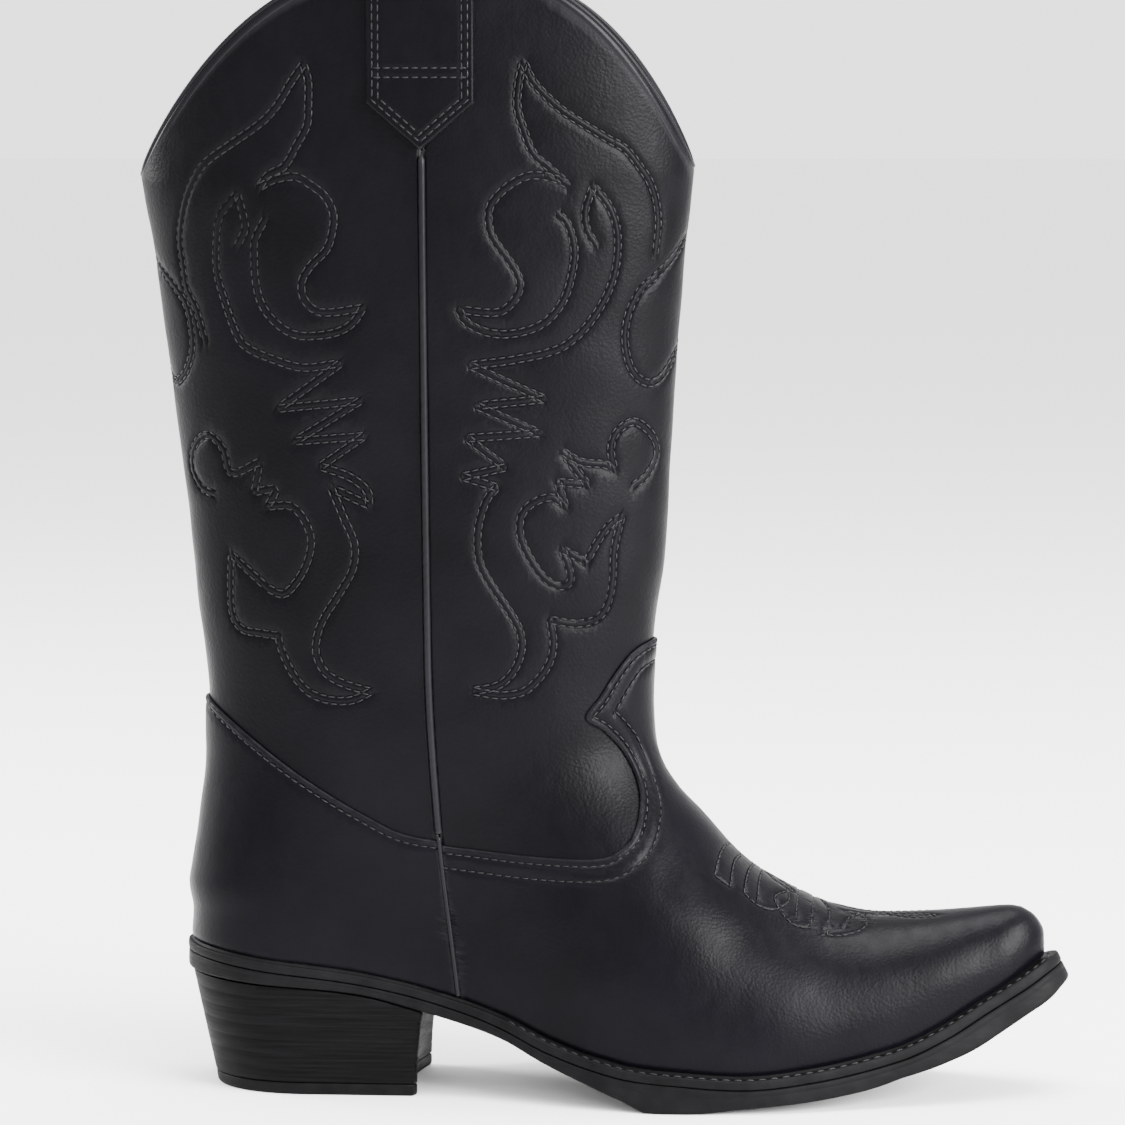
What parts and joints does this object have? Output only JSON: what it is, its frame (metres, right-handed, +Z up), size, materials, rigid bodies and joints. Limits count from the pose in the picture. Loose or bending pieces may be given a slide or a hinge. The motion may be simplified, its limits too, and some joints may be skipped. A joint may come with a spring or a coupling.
{
  "type": "cowboy boot",
  "caption": "Right western boot with a pointed toe, scalloped shaft top, pull straps, western stitching, welted sole and a stacked block heel.",
  "frame": {"origin": "bottom centre of the bounding box: the floor point under the middle of the boot", "axes": "+X towards the toe, +Y towards the inner side of the foot, +Z up"},
  "size_m": [0.307, 0.0968, 0.3956],
  "materials": {
    "black_leather": "semi-gloss, fine grain",
    "black_trim": "semi-gloss",
    "lining_textile": "matte woven",
    "fibre_board": "matte board",
    "sock_foam": "matte",
    "steel": "satin",
    "cork_filler": "matte granular",
    "sole_rubber": "matte",
    "heel_stack": "satin, faint stacked layers"
  },
  "bodies": {
    "root": {"shaft_front_panel": "black_leather", "shaft_back_panel": "black_leather", "shaft_front_lining": "lining_textile", "shaft_back_lining": "lining_textile", "vamp": "black_leather", "vamp_lining": "lining_textile", "heel_counter": "black_leather", "heel_lining": "lining_textile", "counter_stiffener": "fibre_board", "toe_puff": "fibre_board", "insole_board": "fibre_board", "sock_liner": "sock_foam", "welt": "sole_rubber", "bottom_filler": "cork_filler", "shank": "steel", "outsole": "sole_rubber", "heel_block": "heel_stack", "heel_top_lift": "sole_rubber", "heel_nail_1": "steel", "heel_nail_2": "steel", "heel_nail_3": "steel", "heel_nail_4": "steel", "heel_nail_5": "steel", "lateral_side_piping": "black_trim", "medial_side_piping": "black_trim", "topline_binding_front": "black_trim", "topline_binding_back": "black_trim", "lateral_strap_outer_leg": "black_leather", "lateral_strap_inner_leg": "black_leather", "medial_strap_outer_leg": "black_leather", "medial_strap_inner_leg": "black_leather"},
    "lateral_loop": {"lateral_strap_loop": "black_leather"},
    "medial_loop": {"medial_strap_loop": "black_leather"}
  },
  "joints": [
    {"name": "lateral_loop_tip", "type": "hinge", "parent": "root", "child": "lateral_loop", "pos_m": [-0.057, -0.03525, 0.3716], "axis": [1, 0, 0], "range_deg": [-20, 20], "stiffness_Nm_per_rad": 0.02},
    {"name": "medial_loop_tip", "type": "hinge", "parent": "root", "child": "medial_loop", "pos_m": [-0.057, 0.03525, 0.3716], "axis": [1, 0, 0], "range_deg": [-20, 20], "stiffness_Nm_per_rad": 0.02}
  ]
}
